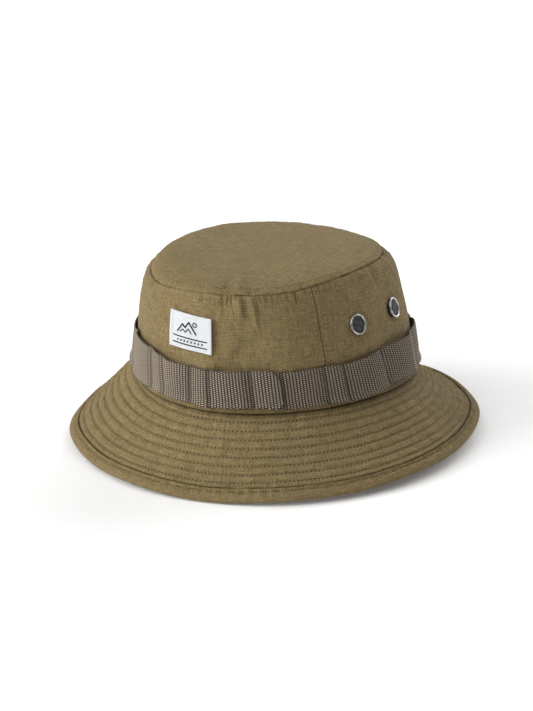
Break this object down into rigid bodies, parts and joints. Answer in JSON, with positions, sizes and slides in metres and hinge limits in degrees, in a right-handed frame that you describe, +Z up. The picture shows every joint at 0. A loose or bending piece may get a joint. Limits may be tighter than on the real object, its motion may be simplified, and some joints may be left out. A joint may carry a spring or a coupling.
{
  "type": "boonie hat",
  "caption": "Soft brimmed boonie hat with an oval flat-topped crown, quilted bound brim, webbing loop band, front label and meshed side vents.",
  "frame": {"origin": "on the floor under the middle of the brim, with the hat standing on its brim as worn side up", "axes": "+Z up through the crown, -Y towards the front of the hat (the labelled side), +X towards the wearer's left"},
  "size_m": [0.2719, 0.2912, 0.1266],
  "materials": {
    "canvas": "olive khaki ripstop cotton, matt",
    "binding": "olive khaki cotton strip, matt",
    "webbing": "taupe ribbed webbing, matt",
    "sweatband": "dark olive brushed cotton",
    "seam_tape": "olive cotton tape",
    "interlining": "stiff felted interlining",
    "thread": "dark olive polyester thread",
    "label": "white woven label, satin",
    "eyelet_metal": "antique silver",
    "mesh_metal": "dark woven wire mesh"
  },
  "bodies": {
    "hat": {"crown_front_panel": "canvas", "crown_side_panel_left": "canvas", "crown_side_panel_right": "canvas", "crown_back_panel": "canvas", "crown_top": "canvas", "sweatband": "sweatband", "top_seam_tape": "seam_tape", "seam_tape_front_left": "seam_tape", "seam_tape_front_right": "seam_tape", "seam_tape_back_left": "seam_tape", "seam_tape_back_right": "seam_tape", "brim_upper": "canvas", "brim_interlining": "interlining", "brim_lower": "canvas", "brim_binding": "binding", "crown_stitch_row": "thread", "webbing_band": "webbing", "front_label": "label", "size_label_tab": "label", "brim_stitch_row_1": "thread", "brim_stitch_row_2": "thread", "brim_stitch_row_3": "thread", "brim_stitch_row_4": "thread", "brim_stitch_row_5": "thread", "brim_stitch_row_6": "thread", "brim_stitch_row_7": "thread", "brim_stitch_row_8": "thread", "vent_eyelet_left_front": "eyelet_metal", "vent_washer_left_front": "eyelet_metal", "vent_mesh_left_front": "mesh_metal", "vent_eyelet_left_rear": "eyelet_metal", "vent_washer_left_rear": "eyelet_metal", "vent_mesh_left_rear": "mesh_metal", "vent_eyelet_right_front": "eyelet_metal", "vent_washer_right_front": "eyelet_metal", "vent_mesh_right_front": "mesh_metal", "vent_eyelet_right_rear": "eyelet_metal", "vent_washer_right_rear": "eyelet_metal", "vent_mesh_right_rear": "mesh_metal"},
    "size_label": {"size_label": "label"}
  },
  "joints": [
    {"name": "size_label_flap", "type": "hinge", "parent": "hat", "child": "size_label", "pos_m": [0, 0.09525, 0.062], "axis": [-1, 0, 0], "range_deg": [0, 110]}
  ]
}
